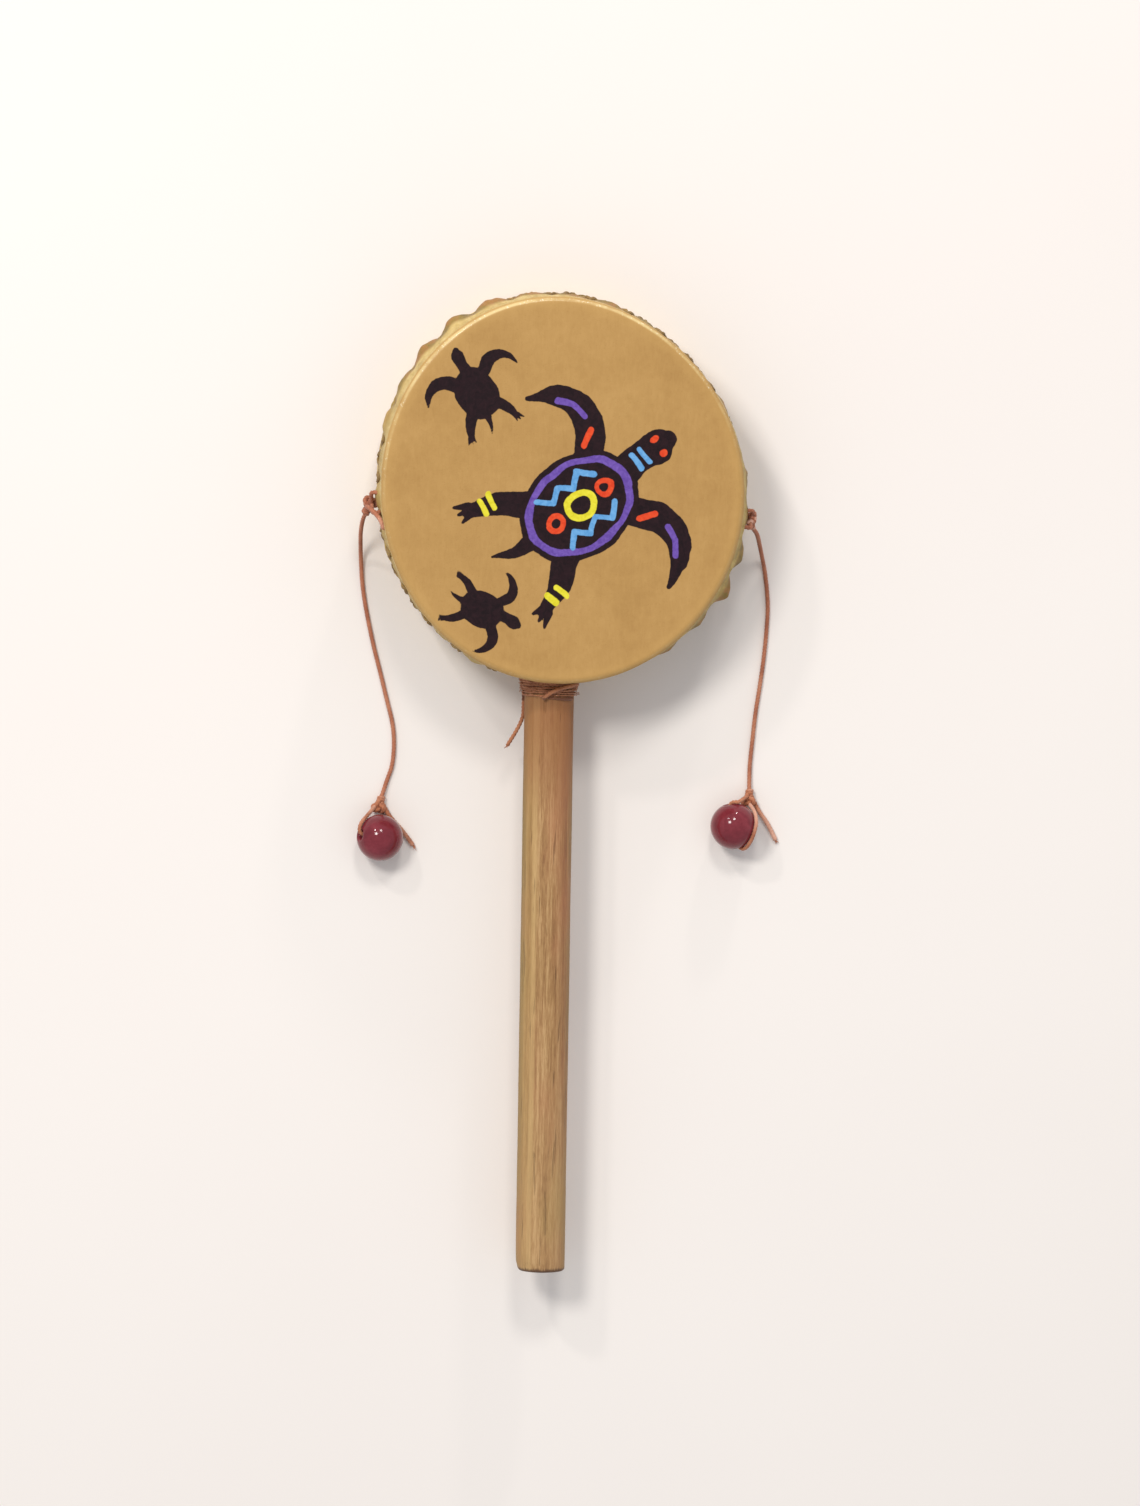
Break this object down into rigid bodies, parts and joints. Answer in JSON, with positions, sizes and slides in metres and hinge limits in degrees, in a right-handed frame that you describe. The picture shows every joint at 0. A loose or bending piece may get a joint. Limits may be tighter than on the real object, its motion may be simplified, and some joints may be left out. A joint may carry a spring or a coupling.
{
  "type": "pellet drum",
  "caption": "Small hand-held rattle drum: two rawhide heads laced over a bent wood hoop, a dowel handle, and a round bead on a thread at each side.",
  "frame": {"origin": "centre of the back head's flat outer face, which lies on the surface below", "axes": "+Z out of the painted front head, +Y from the handle towards the top of the drum, +X to the right as the painted head is seen"},
  "size_m": [0.1104, 0.2529, 0.03],
  "materials": {
    "rawhide_painted": "dry stretched rawhide, satin, painted",
    "rawhide_plain": "dry stretched rawhide, satin",
    "thong": "twisted rawhide thong, satin",
    "hoop_wood": "bare bent wood",
    "handle_wood": "lightly oiled dowel",
    "binding_thread": "waxed thread",
    "cord_thread": "waxed twisted thread",
    "bead_gloss": "gloss lacquer"
  },
  "bodies": {
    "root": {"hoop": "hoop_wood", "front_head": "rawhide_painted", "back_head": "rawhide_plain", "rim_lacing": "thong", "handle": "handle_wood", "neck_binding": "binding_thread", "side_knot_left": "cord_thread", "side_knot_right": "cord_thread", "cord_left": "cord_thread", "cord_right": "cord_thread", "bead_knot_left": "cord_thread", "bead_knot_right": "cord_thread", "bead_left": "bead_gloss", "bead_right": "bead_gloss"}
  },
  "joints": []
}
